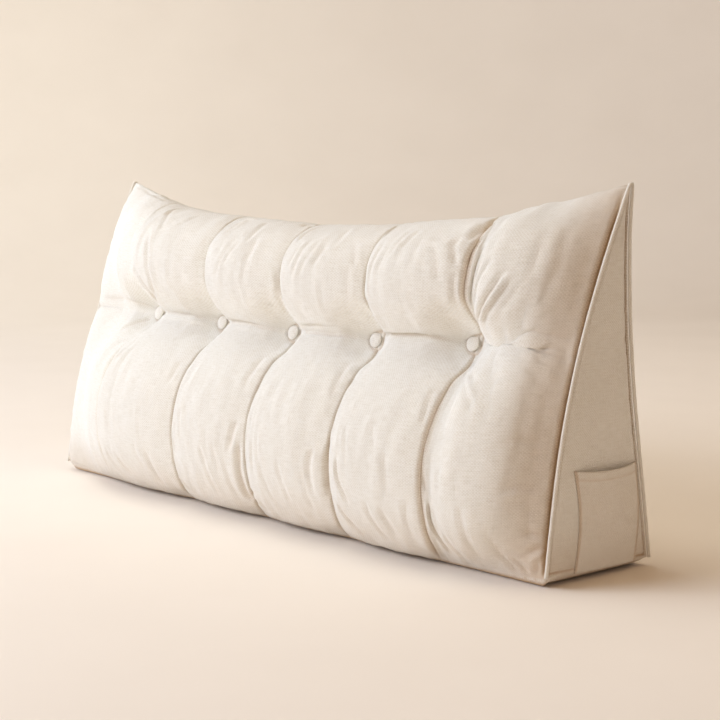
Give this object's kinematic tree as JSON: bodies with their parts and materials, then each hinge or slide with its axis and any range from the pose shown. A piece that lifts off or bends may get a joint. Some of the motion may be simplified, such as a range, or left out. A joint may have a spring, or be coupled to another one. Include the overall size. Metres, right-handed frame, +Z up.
{
  "type": "headboard wedge pillow",
  "caption": "Tall wedge backrest cushion for a bed, button-tufted in puffed columns, with piped side seams and a patch pocket on one side.",
  "frame": {"origin": "middle of the footprint, on the surface that the cushion stands on", "axes": "+X along the width to the end with the pocket, -Y towards the tufted front, +Z up"},
  "size_m": [1.2104, 0.2854, 0.5224],
  "materials": {
    "cover_cloth": "matt cream basket-weave linen and cotton",
    "piping_cloth": "the cover cloth over a thin cord",
    "pocket_cloth": "the cover cloth, single layer with stitched edges",
    "button_cloth": "the cover cloth stretched over a button form"
  },
  "bodies": {
    "root": {"cushion": "cover_cloth", "piping_left": "piping_cloth", "piping_right": "piping_cloth", "side_pocket": "pocket_cloth", "button_1": "button_cloth", "button_2": "button_cloth", "button_3": "button_cloth", "button_4": "button_cloth", "button_5": "button_cloth"}
  },
  "joints": []
}
